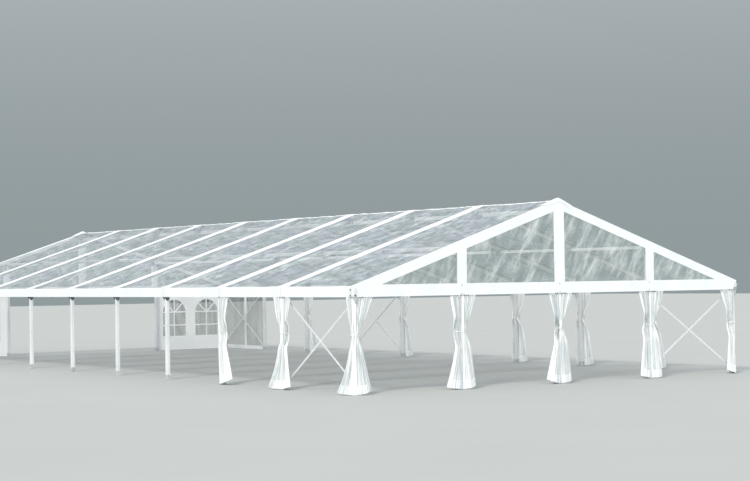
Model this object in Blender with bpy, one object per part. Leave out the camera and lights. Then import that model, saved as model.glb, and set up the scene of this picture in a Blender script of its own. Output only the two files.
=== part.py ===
"""A clear-roofed frame marquee, 40 ft by 90 ft, as an assembly of its real pieces.

The origin is on the ground at the centre of the plan. X runs across the gable, Y along the tent
towards its back gable, and Z up. The near side is at -X, the far side at +X, the front gable at -Y.
"""

import math

import bmesh
import bpy
from mathutils import Vector

# The plan: ten foot sections across the gable, ten foot bays along the side
SECTION_WIDTH = 3.048
SECTION_COUNT = 4
BAY_LENGTH = 3.048
BAY_COUNT = 9

# Heights of the roof cover above the ground
EAVE_HEIGHT = 2.491
VALANCE_DROP = 0.244
ROOF_PITCH = math.radians(18.46)

# Portal frames
LEG = 0.10
RAFTER_DEPTH = 0.12
KNEE = 0.15
RIDGE_FLAT = 0.25
PLATE_WIDTH = 0.20
PLATE_THICKNESS = 0.012
RAIL_WIDTH = 0.012
RAIL_RISE = 0.008
RAIL_INSET = 0.002
RAIL_ROOT = 0.02
VERGE_DEPTH = 0.06
VERGE_LAP = 0.03

# Beams and purlins
BEAM_WIDTH = 0.05
BEAM_DEPTH = 0.10
BEAM_ABOVE_VALANCE = 0.01
PURLIN_WIDTH = 0.06
PURLIN_DEPTH = 0.08
RIDGE_PURLIN_DEPTH = 0.10
PURLIN_DISTANCE = SECTION_WIDTH

# Sheets of vinyl, thicker than the real film
SKIN = 0.006
WALL = 0.010
WINDOW_FILM = 0.004
WINDOW_WIDTH = 1.00
WINDOW_PITCH = 1.43
WINDOW_SILL = 0.55
WINDOW_SPRING = 1.46
ARCH_STEP_COUNT = 16

# Cross braces
BRACE_WIDTH = 0.045
BRACE_THICKNESS = 0.012
BRACE_TOP = 2.21
BRACE_FOOT = 0.20
BRACE_INSET = 0.03

# Gathered curtains
TIE_HEIGHT = 1.37
CURTAIN_TOP_WIDTH = 0.76
CURTAIN_TIE_WIDTH = 0.24
CURTAIN_FOOT_WIDTH = 0.84
SINGLE_TOP_WING = 0.32
SINGLE_FOOT_WING = 0.58
CORNER_TOP_WING = 0.44
CORNER_TIE_WING = 0.15
CORNER_FOOT_WING = 0.42
CURTAIN_TIE_COVER = 0.035
CURTAIN_FOOT_COVER = 0.22
CURTAIN_RING_COUNT = 5
CURTAIN_SIDE_COUNT = 8

# Gap between pieces that touch, and how far a cutter reaches past what it cuts
FIT = 0.0003
CUT_OVER = 0.05

HALF_WIDTH = SECTION_WIDTH * SECTION_COUNT / 2
HALF_LENGTH = BAY_LENGTH * BAY_COUNT / 2
LEG_OUT = LEG / 2
BEAM_IN = LEG_OUT + FIT
BEAM_OUT = BEAM_IN + BEAM_WIDTH
COVER_IN = BEAM_OUT + FIT
COVER_HALF = HALF_WIDTH + COVER_IN + SKIN
VALANCE_FOOT = EAVE_HEIGHT - VALANCE_DROP
BEAM_FOOT = VALANCE_FOOT + BEAM_ABOVE_VALANCE
HANG_TOP = BEAM_FOOT - FIT
HANG_FOOT = PLATE_THICKNESS + FIT
PLUMB = 1 / math.cos(ROOF_PITCH)
RAFTER_TOP = SKIN + FIT
RAFTER_FOOT = RAFTER_TOP + RAFTER_DEPTH
RAFTER_END = HALF_WIDTH + BEAM_OUT


def clear_scene():
    """Remove whatever the file holds."""
    for old in list(bpy.data.objects):
        bpy.data.objects.remove(old, do_unlink=True)


def material(name, colour, roughness, metallic=0.0, alpha=1.0):
    """A Principled material with the piece's colour and finish."""
    made = bpy.data.materials.new(name)
    made.use_nodes = True
    shader = made.node_tree.nodes["Principled BSDF"]
    shader.inputs["Base Color"].default_value = (*colour, 1.0)
    shader.inputs["Roughness"].default_value = roughness
    shader.inputs["Metallic"].default_value = metallic
    shader.inputs["Alpha"].default_value = alpha
    return made


def add_object(name, mesh, finish):
    """Link a mesh to the scene as a named object."""
    obj = bpy.data.objects.new(name, mesh)
    if finish is not None:
        obj.data.materials.clear()
        obj.data.materials.append(finish)
    bpy.context.scene.collection.objects.link(obj)
    return obj


def mesh_from(name, bm):
    """Turn a bmesh into a mesh with its faces pointing out."""
    bmesh.ops.recalc_face_normals(bm, faces=bm.faces)
    mesh = bpy.data.meshes.new(name)
    bm.to_mesh(mesh)
    bm.free()
    return mesh


def prism_into(bm, outline, along):
    """Extrude a closed outline of 3-D points by a vector, into a bmesh."""
    base = bm.faces.new([bm.verts.new(point) for point in outline])
    grown = bmesh.ops.extrude_face_region(bm, geom=[base])
    top = [item for item in grown["geom"] if isinstance(item, bmesh.types.BMVert)]
    bmesh.ops.translate(bm, verts=top, vec=Vector(along))


def across(outline, y_start, y_end):
    """Prism of an outline in the XZ plane between two places along the tent."""
    bm = bmesh.new()
    prism_into(bm, [(x, y_start, z) for x, z in outline], (0, y_end - y_start, 0))
    return bm


def box_into(bm, low, high):
    """Add a box between two corners to a bmesh."""
    outline = [(low[0], low[1]), (high[0], low[1]), (high[0], high[1]), (low[0], high[1])]
    prism_into(bm, [(x, y, low[2]) for x, y in outline], (0, 0, high[2] - low[2]))


def box(name, low, high, finish):
    """A box between two corners, as an object."""
    bm = bmesh.new()
    box_into(bm, low, high)
    return add_object(name, mesh_from(name, bm), finish)


def combine(target, name, bm, operation):
    """Join a helper solid to an object, or cut it away, with a Boolean."""
    helper = add_object(name, mesh_from(name, bm), None)
    helper.hide_render = True
    helper.display_type = "WIRE"
    modifier = target.modifiers.new(name, "BOOLEAN")
    modifier.operation = operation
    modifier.solver = "EXACT"
    modifier.object = helper


def roof_line(x, depth):
    """Height of the line that lies a depth under the roof cover's outer face."""
    return EAVE_HEIGHT + (COVER_HALF - abs(x)) * math.tan(ROOF_PITCH) - depth * PLUMB


def chevron(top, foot, end):
    """Outline of a strip that follows both slopes, between two depths under the cover."""
    outer = [(end, roof_line(end, top)), (0, roof_line(0, top)), (-end, roof_line(end, top))]
    inner = [(-end, roof_line(end, foot)), (0, roof_line(0, foot)), (end, roof_line(end, foot))]
    return outer + inner


def frame_outline():
    """Outline of a portal: two legs, two rafters, knees, and the flat under the ridge."""
    leg_in = HALF_WIDTH - LEG_OUT
    leg_out = HALF_WIDTH + LEG_OUT
    knee_in = leg_in - KNEE
    outside = [
        (leg_out, 0),
        (leg_out, roof_line(leg_out, RAFTER_FOOT)),
        (RAFTER_END, roof_line(RAFTER_END, RAFTER_FOOT)),
        (RAFTER_END, roof_line(RAFTER_END, RAFTER_TOP)),
        (0, roof_line(0, RAFTER_TOP)),
    ]
    inside = [
        (RIDGE_FLAT, roof_line(RIDGE_FLAT, RAFTER_FOOT)),
        (knee_in, roof_line(knee_in, RAFTER_FOOT)),
        (leg_in, roof_line(leg_in, RAFTER_FOOT) - KNEE),
        (leg_in, 0),
    ]
    left_outside = [(-x, z) for x, z in reversed(outside) if x > 0]
    left_inside = [(-x, z) for x, z in reversed(inside)]
    return outside + left_outside + left_inside + inside


def plate_into(bm, x, y):
    """Add a base plate under a leg or post."""
    half = PLATE_WIDTH / 2
    box_into(bm, (x - half, y - half, 0), (x + half, y + half, PLATE_THICKNESS))


def frame_y(index):
    """Place of a portal along the tent."""
    return index * BAY_LENGTH - HALF_LENGTH


def rail_centre(index):
    """Place along the tent of the rail that holds the roof panels on a portal."""
    edge = BEAM_OUT - RAIL_INSET - RAIL_WIDTH / 2
    if index == 0:
        return -HALF_LENGTH - edge
    if index == BAY_COUNT:
        return HALF_LENGTH + edge
    return frame_y(index)


def build_frame(index, finish):
    """One portal with its base plates, its rail and, at a gable, its verge."""
    y = frame_y(index)
    name = f"frame_{index}"
    frame = add_object(name, mesh_from(name, across(frame_outline(), y - LEG_OUT, y + LEG_OUT)), finish)
    fittings = bmesh.new()
    for x in (-HALF_WIDTH, HALF_WIDTH):
        plate_into(fittings, x, y)
    combine(frame, f"{name}_plates", fittings, "UNION")
    if index in (0, BAY_COUNT):
        side = -1 if index == 0 else 1
        inner = y + side * (LEG_OUT - VERGE_LAP)
        outer = y + side * BEAM_OUT
        verge = across(chevron(RAFTER_TOP, RAFTER_TOP + VERGE_DEPTH, RAFTER_END), inner, outer)
        combine(frame, f"{name}_verge", verge, "UNION")
    centre = rail_centre(index)
    strip = chevron(RAFTER_TOP - RAIL_RISE, RAFTER_TOP + RAIL_ROOT, RAFTER_END - RAIL_INSET)
    rail = across(strip, centre - RAIL_WIDTH / 2, centre + RAIL_WIDTH / 2)
    combine(frame, f"{name}_rail", rail, "UNION")


def build_roof_panel(index, finish):
    """One clear panel over a bay, from valance to valance."""
    outer = [
        (COVER_HALF, VALANCE_FOOT),
        (COVER_HALF, EAVE_HEIGHT),
        (0, roof_line(0, 0)),
        (-COVER_HALF, EAVE_HEIGHT),
        (-COVER_HALF, VALANCE_FOOT),
    ]
    inner_x = COVER_HALF - SKIN
    inner = [
        (-inner_x, VALANCE_FOOT),
        (-inner_x, roof_line(inner_x, SKIN)),
        (0, roof_line(0, SKIN)),
        (inner_x, roof_line(inner_x, SKIN)),
        (inner_x, VALANCE_FOOT),
    ]
    start = rail_centre(index - 1) + RAIL_WIDTH / 2 + FIT
    end = rail_centre(index) - RAIL_WIDTH / 2 - FIT
    name = f"roof_panel_{index}"
    add_object(name, mesh_from(name, across(outer + inner, start, end)), finish)


def build_beams(finish):
    """Eave beams outside the legs, and a header across each gable."""
    top = BEAM_FOOT + BEAM_DEPTH
    end = HALF_LENGTH + LEG_OUT
    for name, side in (("near_eave_beam", -1), ("far_eave_beam", 1)):
        faces = sorted((side * (HALF_WIDTH + BEAM_IN), side * (HALF_WIDTH + BEAM_OUT)))
        box(name, (faces[0], -end, BEAM_FOOT), (faces[1], end, top), finish)
    reach = HALF_WIDTH + BEAM_OUT
    for name, side in (("front_gable_header", -1), ("back_gable_header", 1)):
        faces = sorted((side * (HALF_LENGTH + BEAM_IN), side * (HALF_LENGTH + BEAM_OUT)))
        box(name, (-reach, faces[0], BEAM_FOOT), (reach, faces[1], top), finish)


def build_purlins(finish):
    """The ridge purlin and one purlin halfway up each slope, seated under the rafters."""
    end = HALF_LENGTH - LEG_OUT - FIT
    ridge_top = roof_line(RIDGE_FLAT, RAFTER_FOOT) - FIT
    half = PURLIN_WIDTH / 2
    box("ridge_purlin", (-half, -end, ridge_top - RIDGE_PURLIN_DEPTH), (half, end, ridge_top), finish)
    drop = RAFTER_FOOT + FIT + PURLIN_DEPTH / 2
    for name, side in (("near_purlin", -1), ("far_purlin", 1)):
        purlin = box(name, (-half, -end, -PURLIN_DEPTH / 2), (half, end, PURLIN_DEPTH / 2), finish)
        purlin.location = (side * PURLIN_DISTANCE, 0, roof_line(PURLIN_DISTANCE, drop))
        purlin.rotation_euler = (0, side * ROOF_PITCH, 0)


def section_x(index):
    """Place of a gable leg or post across the tent."""
    return index * SECTION_WIDTH - HALF_WIDTH


def post_outline(x, foot):
    """Outline of a gable post, cut to the rafter's underside or to the flat under the ridge."""
    low, high = x - LEG_OUT, x + LEG_OUT

    def top(at):
        return roof_line(max(abs(at), RIDGE_FLAT), RAFTER_FOOT + FIT)

    return [(low, foot), (high, foot), (high, top(high)), (low, top(low))]


def build_post(name, index, y, foot, finish):
    """A post in a gable, on a base plate where it stands on the ground."""
    x = section_x(index)
    outline = post_outline(x, foot)
    post = add_object(name, mesh_from(name, across(outline, y - LEG_OUT, y + LEG_OUT)), finish)
    if foot == 0:
        plate = bmesh.new()
        plate_into(plate, x, y)
        combine(post, f"{name}_plate", plate, "UNION")


def build_gable_skin(name, side, finish):
    """The clear triangle of a gable and the band below it, outside the verge and the header."""
    outline = [
        (-COVER_HALF, VALANCE_FOOT),
        (COVER_HALF, VALANCE_FOOT),
        (COVER_HALF, EAVE_HEIGHT),
        (0, roof_line(0, 0)),
        (-COVER_HALF, EAVE_HEIGHT),
    ]
    inner = side * (HALF_LENGTH + COVER_IN)
    outer = side * (HALF_LENGTH + COVER_IN + SKIN)
    add_object(name, mesh_from(name, across(outline, inner, outer)), finish)


def window_outline(x):
    """An arched window's outline, round over a straight lower part."""
    radius = WINDOW_WIDTH / 2
    turn = math.pi / ARCH_STEP_COUNT
    arch = [
        (x + radius * math.cos(step * turn), WINDOW_SPRING + radius * math.sin(step * turn))
        for step in range(ARCH_STEP_COUNT + 1)
    ]
    return [(x - radius, WINDOW_SILL), (x + radius, WINDOW_SILL)] + arch


def build_window_wall(name, side, finish):
    """A white wall in an outer section of the back gable, with two windows of clear film."""
    near_post = HALF_WIDTH - SECTION_WIDTH - LEG_OUT
    corner = HALF_WIDTH + LEG_OUT
    low, high = sorted((side * near_post, side * corner))
    inner = HALF_LENGTH + BEAM_IN
    wall = box(name, (low, inner, HANG_FOOT), (high, inner + WALL, HANG_TOP), finish)
    recess = (WALL - WINDOW_FILM) / 2
    cuts = bmesh.new()
    centre = side * (HALF_WIDTH - SECTION_WIDTH / 2)
    for x in (centre - WINDOW_PITCH / 2, centre + WINDOW_PITCH / 2):
        for start, end in ((inner - WALL, inner + recess), (inner + WALL - recess, inner + 2 * WALL)):
            outline = [(px, start, pz) for px, pz in window_outline(x)]
            prism_into(cuts, outline, (0, end - start, 0))
    combine(wall, f"{name}_windows", cuts, "DIFFERENCE")


def build_clear_wall(name, side, finish):
    """A clear wall in the last bay of a long side, outside its legs."""
    low, high = sorted((side * (HALF_WIDTH + BEAM_IN), side * (HALF_WIDTH + BEAM_IN + WALL)))
    start = frame_y(BAY_COUNT - 1) - LEG_OUT
    end = frame_y(BAY_COUNT) + LEG_OUT
    box(name, (low, start, HANG_FOOT), (high, end, HANG_TOP), finish)


def brace_outline(span):
    """Outline of two crossed bars about their crossing, in the plane of a bay."""
    rise = BRACE_TOP - BRACE_FOOT
    length = math.hypot(span, rise) / 2
    c, s = span / (2 * length), rise / (2 * length)
    h = BRACE_WIDTH / 2
    points = []
    for sx, sz in ((1, 1), (-1, 1), (-1, -1), (1, -1)):
        first = (sx * (length * c + h * s), sz * (length * s - h * c))
        second = (sx * (length * c - h * s), sz * (length * s + h * c))
        points += [first, second] if sx == sz else [second, first]
        notch = (0, sz * h / c) if sx == sz else (sx * h / s, 0)
        points.append(notch)
    return points


def build_braces(finish):
    """Crossed bars on the inner faces of the legs of four bays."""
    middle = (BRACE_TOP + BRACE_FOOT) / 2
    inner_y = -HALF_LENGTH + LEG_OUT + FIT
    x = (section_x(SECTION_COUNT - 1) + section_x(SECTION_COUNT)) / 2
    outline = [(x + u, middle + w) for u, w in brace_outline(SECTION_WIDTH - 2 * BRACE_INSET)]
    mesh = mesh_from("front_cross_brace", across(outline, inner_y, inner_y + BRACE_THICKNESS))
    add_object("front_cross_brace", mesh, finish)
    for name, side, bay in (
        ("near_cross_brace", -1, 0),
        ("far_middle_cross_brace", 1, 5),
        ("far_back_cross_brace", 1, 8),
    ):
        y = (frame_y(bay) + frame_y(bay + 1)) / 2
        face = side * (HALF_WIDTH - LEG_OUT - FIT)
        bm = bmesh.new()
        prism_into(
            bm,
            [(face, y + u, middle + w) for u, w in brace_outline(BAY_LENGTH - 2 * BRACE_INSET)],
            (-side * BRACE_THICKNESS, 0, 0),
        )
        add_object(name, mesh_from(name, bm), finish)


def curtain_levels():
    """Heights of a curtain's rings, with its share of the way from the tie to each end."""
    rings = CURTAIN_RING_COUNT
    below = [((rings - i) / rings, HANG_FOOT) for i in range(rings)]
    above = [(i / rings, HANG_TOP) for i in range(rings + 1)]
    return [(share, TIE_HEIGHT + (end - TIE_HEIGHT) * share, end) for share, end in below + above]


def between(tie, end, share):
    """A curtain's size at a share of the way from its tie to one end, flaring softly."""
    return tie + (end - tie) * math.sin(share * math.pi / 2)


def side_ring(share, end):
    """Section of a gathered curtain: u along the wall, v outward from the leg's centre."""
    at_top = end == HANG_TOP
    half = between(CURTAIN_TIE_WIDTH, CURTAIN_TOP_WIDTH if at_top else CURTAIN_FOOT_WIDTH, share) / 2
    end_cover = BEAM_WIDTH if at_top else CURTAIN_FOOT_COVER
    depth = LEG + between(CURTAIN_TIE_COVER, end_cover, share)
    turn = math.pi / CURTAIN_SIDE_COUNT
    return [
        (half * math.cos(i * turn), depth * math.sin(i * turn) - LEG_OUT)
        for i in range(CURTAIN_SIDE_COUNT + 1)
    ]


def single_ring(share, end):
    """Section of a curtain with one wing: u towards the wing, v outward from the leg's centre."""
    at_top = end == HANG_TOP
    wing = between(CORNER_TIE_WING, SINGLE_TOP_WING if at_top else SINGLE_FOOT_WING, share)
    end_cover = BEAM_WIDTH if at_top else CURTAIN_FOOT_COVER
    out = LEG_OUT + between(CURTAIN_TIE_COVER, end_cover, share)
    near = LEG_OUT + CURTAIN_TIE_COVER
    return [(wing, 0), (wing, out / 2), (wing * 2 / 3, out), (0, near), (-near, near), (-near, 0)]


def corner_ring(share, end):
    """Section of a corner curtain with a wing along each wall, inward from the leg's centre."""
    at_top = end == HANG_TOP
    wing = between(CORNER_TIE_WING, CORNER_TOP_WING if at_top else CORNER_FOOT_WING, share)
    end_cover = BEAM_WIDTH if at_top else CURTAIN_FOOT_COVER
    out = LEG_OUT + between(CURTAIN_TIE_COVER, end_cover, share)
    edge = out / 2
    wing_side = [(wing, 0), (wing, -edge), (wing * 2 / 3, -out), (-edge, -out)]
    other_side = [(q, p) for p, q in reversed(wing_side)]
    return wing_side + other_side + [(0, 0)]


def loft(name, rings):
    """A closed solid through rings of as many points each."""
    bm = bmesh.new()
    made = [[bm.verts.new(point) for point in ring] for ring in rings]
    for lower, upper in zip(made, made[1:]):
        for i, start in enumerate(lower):
            j = (i + 1) % len(lower)
            bm.faces.new((start, lower[j], upper[j], upper[i]))
    bm.faces.new(made[0])
    bm.faces.new(made[-1])
    return mesh_from(name, bm)


def build_curtain(name, place, rings, along, out, finish):
    """A gathered curtain round the outer faces of a leg, open to the leg's inner face."""
    x, y = place
    points = [
        [(x + u * along[0] + v * out[0], y + u * along[1] + v * out[1], z) for u, v in ring]
        for z, ring in rings
    ]
    curtain = add_object(name, loft(name, points), finish)
    reach = LEG_OUT + FIT
    leg = bmesh.new()
    box_into(leg, (x - reach, y - reach, -CUT_OVER), (x + reach, y + reach, HANG_TOP + CUT_OVER))
    combine(curtain, f"{name}_leg", leg, "DIFFERENCE")


def build_curtains(finish):
    """Curtains on the front gable, on two legs of the near side and along the far side."""
    levels = curtain_levels()
    full = [(z, side_ring(share, end)) for share, z, end in levels]
    single = [(z, single_ring(share, end)) for share, z, end in levels]
    corner = [(z, corner_ring(share, end)) for share, z, end in levels]
    for index in range(1, SECTION_COUNT):
        place = (section_x(index), -HALF_LENGTH)
        build_curtain(f"front_curtain_{index}", place, full, (1, 0), (0, -1), finish)
    place = (-HALF_WIDTH, -HALF_LENGTH)
    build_curtain("near_corner_curtain", place, corner, (1, 0), (0, 1), finish)
    place = (HALF_WIDTH, -HALF_LENGTH)
    build_curtain("far_corner_curtain", place, corner, (-1, 0), (0, 1), finish)
    build_curtain("near_curtain_1", (-HALF_WIDTH, frame_y(1)), full, (0, 1), (-1, 0), finish)
    build_curtain("near_curtain_2", (-HALF_WIDTH, frame_y(2)), single, (0, -1), (-1, 0), finish)
    for index in range(1, BAY_COUNT - 1):
        place = (HALF_WIDTH, frame_y(index))
        build_curtain(f"far_curtain_{index}", place, full, (0, 1), (1, 0), finish)


def build():
    """Build the whole marquee."""
    clear_scene()
    alloy = material("white coated aluminium", (0.80, 0.81, 0.82), 0.35, metallic=0.1)
    galvanised = material("galvanised steel bar", (0.52, 0.54, 0.56), 0.40, metallic=0.9)
    clear = material("clear vinyl", (0.72, 0.80, 0.84), 0.12, alpha=0.45)
    white = material("white vinyl", (0.88, 0.89, 0.91), 0.45)
    frosted = material("gathered clear vinyl with white hems", (0.80, 0.84, 0.88), 0.35)
    for index in range(BAY_COUNT + 1):
        build_frame(index, alloy)
    for index in range(1, BAY_COUNT + 1):
        build_roof_panel(index, clear)
    build_beams(alloy)
    build_purlins(alloy)
    for index in range(1, SECTION_COUNT):
        build_post(f"front_gable_post_{index}", index, -HALF_LENGTH, 0, alloy)
    build_post("back_gable_post_1", 1, HALF_LENGTH, 0, alloy)
    build_post("back_king_post", SECTION_COUNT // 2, HALF_LENGTH, BEAM_FOOT, alloy)
    build_post("back_gable_post_3", SECTION_COUNT - 1, HALF_LENGTH, 0, alloy)
    build_gable_skin("front_gable_skin", -1, clear)
    build_gable_skin("back_gable_skin", 1, clear)
    build_window_wall("near_window_wall", -1, white)
    build_window_wall("far_window_wall", 1, white)
    build_clear_wall("near_clear_wall", -1, clear)
    build_clear_wall("far_clear_wall", 1, clear)
    build_braces(galvanised)
    build_curtains(frosted)


build()
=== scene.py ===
import math

import bmesh
import bpy
from mathutils import Matrix, Vector, noise


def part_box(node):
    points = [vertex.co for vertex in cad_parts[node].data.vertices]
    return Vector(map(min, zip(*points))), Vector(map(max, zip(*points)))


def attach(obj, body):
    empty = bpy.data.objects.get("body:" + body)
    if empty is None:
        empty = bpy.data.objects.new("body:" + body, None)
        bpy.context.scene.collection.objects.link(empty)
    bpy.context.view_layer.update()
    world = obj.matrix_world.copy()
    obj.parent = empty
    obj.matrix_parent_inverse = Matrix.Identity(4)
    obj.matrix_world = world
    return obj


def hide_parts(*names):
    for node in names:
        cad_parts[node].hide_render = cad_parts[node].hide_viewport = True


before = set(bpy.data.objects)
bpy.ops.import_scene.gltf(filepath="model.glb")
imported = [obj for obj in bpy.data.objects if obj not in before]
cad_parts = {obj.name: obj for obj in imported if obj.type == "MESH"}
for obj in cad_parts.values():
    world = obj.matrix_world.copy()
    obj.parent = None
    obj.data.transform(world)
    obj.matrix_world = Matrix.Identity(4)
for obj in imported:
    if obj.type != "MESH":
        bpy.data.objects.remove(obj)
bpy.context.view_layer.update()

# Camera. The photograph was taken off the near front corner, 2.65 m above the tent's feet, through a long
# lens. Its place, turn and lens were fitted to the tent's legs, eaves and ridge.
VIEW_FROM = (-28.421, -47.033, 2.650)
VIEW_TURN, VIEW_RISE, VIEW_TILT = (math.radians(angle) for angle in (-34.541, 1.271, -0.797))
level = math.cos(VIEW_RISE)
forward = Vector((-math.sin(VIEW_TURN) * level, math.cos(VIEW_TURN) * level, math.sin(VIEW_RISE)))
flat_right = Vector((math.cos(VIEW_TURN), math.sin(VIEW_TURN), 0))
flat_up = flat_right.cross(forward)
view_right = flat_right * math.cos(VIEW_TILT) + flat_up * math.sin(VIEW_TILT)
view_up = flat_up * math.cos(VIEW_TILT) - flat_right * math.sin(VIEW_TILT)
camera = bpy.data.objects.new("camera", bpy.data.cameras.new("camera"))
camera.data.lens = 83.904
camera.data.sensor_width = 36
camera.data.clip_end = 500
camera.matrix_world = Matrix((view_right, view_up, -forward)).transposed().to_4x4()
camera.location = VIEW_FROM
bpy.context.scene.collection.objects.link(camera)
bpy.context.scene.camera = camera
bpy.context.scene.view_settings.view_transform = "Standard"

# Studio. A pale matt floor, a soft grey surround that is lighter overhead, one broad warm key light from
# the left front, where the sun stood, and a weak low fill that reaches in under the roof.
FLOOR_HALF, FLOOR_UNDER = 150, 0.002
KEY_FROM, FILL_FROM = Vector((-0.78, -0.52, 0.80)), Vector((-0.50, -0.84, 0.24))


def linear(code):
    """An sRGB hex colour as linear red, green, blue and alpha."""
    parts = [int(code[i : i + 2], 16) / 255 for i in (1, 3, 5)]
    return (*[p / 12.92 if p <= 0.04045 else ((p + 0.055) / 1.055) ** 2.4 for p in parts], 1.0)


def feed(node, sources):
    """Link a node's sockets to their sources."""
    for socket, source in sources.items():
        node.id_data.links.new(source, node.inputs[socket])


def add_node(tree, kind, values=None, sources=None, **settings):
    """Add a shader node with its settings, its sockets' values and the sources of its linked sockets."""
    made = tree.nodes.new("ShaderNode" + kind)
    for name, value in settings.items():
        setattr(made, name, value)
    for socket, value in (values or {}).items():
        made.inputs[socket].default_value = value
    feed(made, sources or {})
    return made


def new_finish(name, **sockets):
    """A material with its Principled shader's sockets set, and with texture coordinates. The sockets'
    names use _ for a space."""
    made = bpy.data.materials.new(name)
    made.use_nodes = True
    tree = made.node_tree
    shader = tree.nodes["Principled BSDF"]
    for socket, value in sockets.items():
        shader.inputs[socket.replace("_", " ")].default_value = value
    return made, tree, shader, add_node(tree, "TexCoord")


def new_clouded_finish(name, scale, detail, dark, pale, by="Object", **sockets):
    """A material whose colour drifts between two tones in soft patches."""
    made, tree, shader, where = new_finish(name, **sockets)
    cloud = add_node(tree, "TexNoise", {"Scale": scale, "Detail": detail}, {"Vector": where.outputs[by]})
    mix = add_node(tree, "Mix", {"A": linear(dark), "B": linear(pale)}, {"Factor": cloud.outputs["Fac"]},
                   data_type="RGBA")
    feed(shader, {"Base Color": mix.outputs["Result"]})
    return made, tree, shader, where


# Painted plaster floor: one pale colour with a faint cloudiness, and no gloss
floor_finish = new_clouded_finish("pale matt floor", 0.25, 3, "#a9adab", "#b0b3b1", Roughness=0.9)[0]
bm = bmesh.new()
bmesh.ops.create_grid(bm, x_segments=2, y_segments=2, size=FLOOR_HALF,
                      matrix=Matrix.Translation((0, 0, -FLOOR_UNDER)))
floor_mesh = bpy.data.meshes.new("floor")
bm.to_mesh(floor_mesh)
bm.free()
floor_mesh.materials.append(floor_finish)
floor = bpy.data.objects.new("floor", floor_mesh)
bpy.context.scene.collection.objects.link(floor)

surround = bpy.data.worlds.new("studio surround")
surround.use_nodes = True
bpy.context.scene.world = surround
tree, background = surround.node_tree, surround.node_tree.nodes["Background"]
where = add_node(tree, "TexCoord")
apart = add_node(tree, "SeparateXYZ", None, {"Vector": where.outputs["Generated"]})
climb = add_node(tree, "MapRange", {"From Min": 0.0, "From Max": 0.65}, {"Value": apart.outputs["Z"]},
                 interpolation_type="SMOOTHSTEP")
mix = add_node(tree, "Mix", {"A": linear("#8b9597"), "B": linear("#f0f4f8")},
               {"Factor": climb.outputs["Result"]}, data_type="RGBA")
feed(background, {"Color": mix.outputs["Result"]})
background.inputs["Strength"].default_value = 1.1

for name, from_way, energy, spread, colour in (("key light", KEY_FROM, 2.3, 12, "#fff9f0"),
                                               ("fill light", FILL_FROM, 1.1, 34, "#f6faff")):
    lamp = bpy.data.objects.new(name, bpy.data.lights.new(name, "SUN"))
    lamp.data.energy = energy
    lamp.data.angle = math.radians(spread)
    lamp.data.color = linear(colour)[:3]
    lamp.rotation_euler = from_way.to_track_quat("Z", "Y").to_euler()
    bpy.context.scene.collection.objects.link(lamp)

# Portal frames. Each of the ten is two box section legs and two box section rafters of aluminium, with a
# channel down each face. A keder rail on the rafters grips the roof panels' edges, and the two end
# frames carry a verge bar outside their rafters.
SECTION, PORTALS = 3.048, 10
HALF_WIDTH, HALF_LENGTH = 2 * SECTION, 4.5 * SECTION
EAVE, VALANCE_FOOT = 2.491, 2.247
PITCH = math.radians(18.46)
COVER_HALF = 6.2026
LEG, BASE_THICK = 0.10, 0.012
RAFTER_TOP, RAFTER_DEEP, RAFTER_END = 0.0063, 0.12, 6.1963
CORNER, CHANNEL, CHANNEL_DEEP, CHANNEL_LIP = 0.006, 0.018, 0.009, 0.0008
VERGE_OUT, VERGE_RISE, VERGE_WIDE, VERGE_DEEP = 0.0751, 0.03, 0.0502, 0.058

# The keder rail's flange and web: the least depth under the cover, the width and the greatest depth
RAIL_PROFILE = ((-0.0017, 0.012, 0.0063), (-0.0017, 0.004, 0.012))
RAIL_OUT = 0.0923

# Bars are made too long and then trimmed: a leg from this height, and a sloping bar from this far past
# the ridge to this far from the tent's middle
LEG_UNCUT, PAST_RIDGE, PAST_EAVE = 2.6, 0.2, 6.4

# Extruded aluminium, mill finish, anodised: near white from afar, with faint die lines along the bar and
# a soft sheen. The lines are under 1 mm apart on the real bars and are drawn 4 mm apart here.
alloy, tree, shader, where = new_finish("extruded anodised aluminium", Metallic=0.15, Roughness=0.36)
stretch = add_node(tree, "Mapping", {"Scale": (2.0, 250.0, 1.0)}, {"Vector": where.outputs["UV"]})
lines = add_node(tree, "TexNoise", {"Scale": 1.0, "Detail": 4}, {"Vector": stretch.outputs["Vector"]})
tone = add_node(tree, "TexNoise", {"Scale": 1.4, "Detail": 5}, {"Vector": where.outputs["Object"]})
both = add_node(tree, "Math", None, {0: lines.outputs["Fac"], 1: tone.outputs["Fac"]}, operation="MULTIPLY")
span = add_node(tree, "MapRange", {"From Min": 0.12, "From Max": 0.40}, {"Value": both.outputs["Value"]})
mix = add_node(tree, "Mix", {"A": linear("#d3d7d9"), "B": linear("#eceeee")},
               {"Factor": span.outputs["Result"]}, data_type="RGBA")
bump = add_node(tree, "Bump", {"Strength": 0.08, "Distance": 0.001}, {"Height": lines.outputs["Fac"]})
feed(shader, {"Base Color": mix.outputs["Result"], "Normal": bump.outputs["Normal"]})


def roof_line(x, depth=0.0):
    """Height of the line that lies a depth under the roof cover's outer face."""
    return EAVE + (COVER_HALF - abs(x)) * math.tan(PITCH) - depth / math.cos(PITCH)


def frame_y(index):
    """Place of a portal along the tent."""
    return index * SECTION - HALF_LENGTH


def end_way(index):
    """The way along the tent that is outward at an end portal, and 0 at the others."""
    return {0: -1, PORTALS - 1: 1}.get(index, 0)


def rail_y(index):
    """Place along the tent of the rail that holds the roof panels on a portal."""
    return frame_y(index) + end_way(index) * RAIL_OUT


def new_part():
    """A bmesh with a UV map for patterns that run along a piece."""
    made = bmesh.new()
    made.loops.layers.uv.new("along")
    return made


def new_block(wide, deep, high):
    """A box round the origin."""
    made = new_part()
    bmesh.ops.create_cube(made, size=1)
    bmesh.ops.scale(made, vec=(wide, deep, high), verts=made.verts)
    return made


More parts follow.
